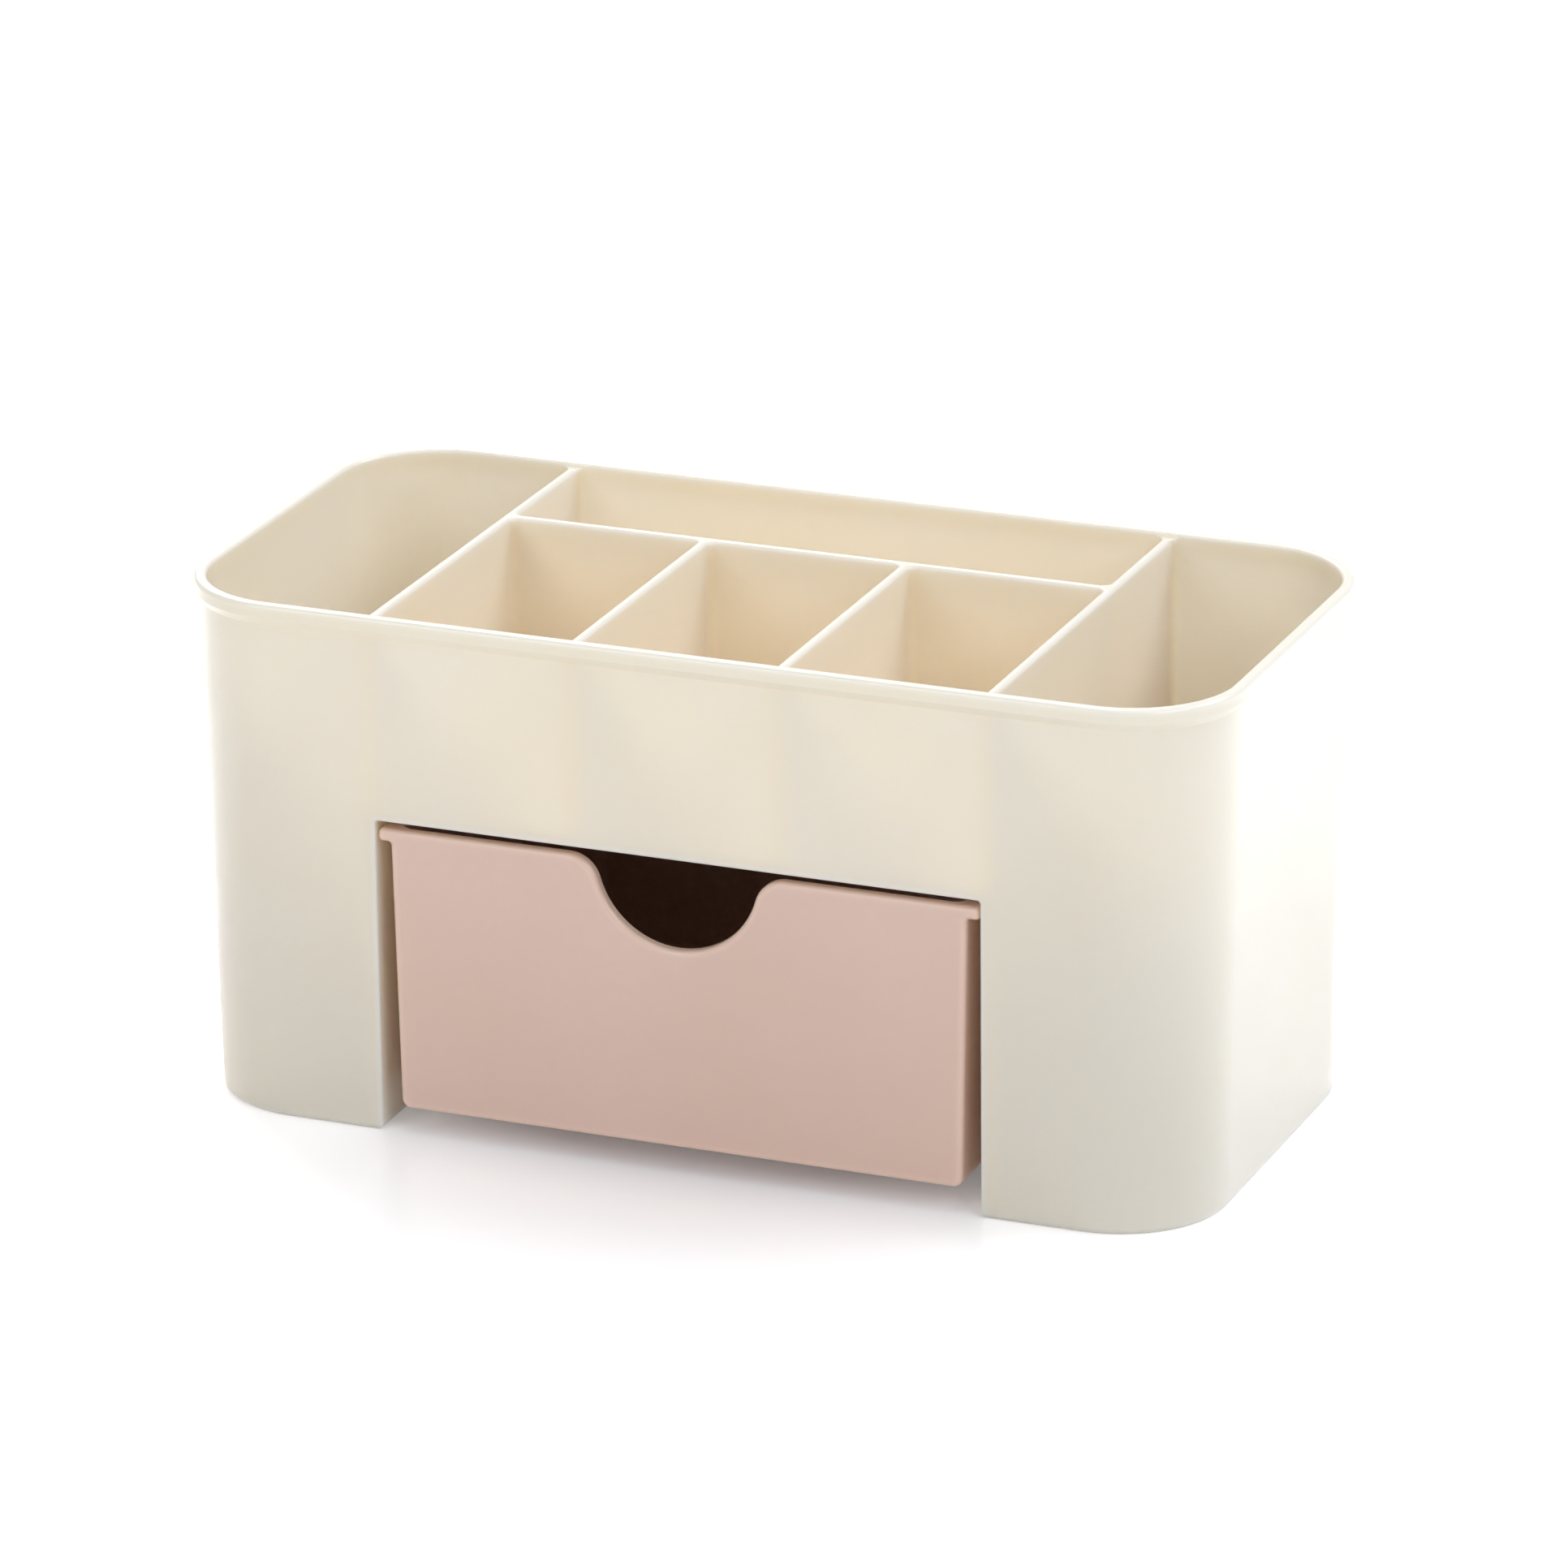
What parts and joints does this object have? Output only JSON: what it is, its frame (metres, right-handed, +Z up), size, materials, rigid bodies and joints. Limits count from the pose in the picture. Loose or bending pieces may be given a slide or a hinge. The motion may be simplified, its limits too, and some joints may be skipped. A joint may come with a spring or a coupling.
{
  "type": "makeup organizer with drawer",
  "caption": "Open-topped cosmetics organizer with deep end wells, a divided shallow tray and a hanging drawer with a finger notch below it.",
  "frame": {"origin": "middle of the base, on the surface that the body stands on", "axes": "+X along the length, -Y towards the user, the way the drawer opens, +Z up"},
  "size_m": [0.22, 0.1076, 0.1085],
  "materials": {
    "body_plastic": "satin",
    "drawer_plastic": "satin"
  },
  "bodies": {
    "organizer_body": {"organizer_body": "body_plastic"},
    "drawer": {"drawer": "drawer_plastic"}
  },
  "joints": [
    {"name": "drawer_slide", "type": "slide", "parent": "organizer_body", "child": "drawer", "axis": [0, -1, 0], "range_m": [0, 0.075]}
  ]
}
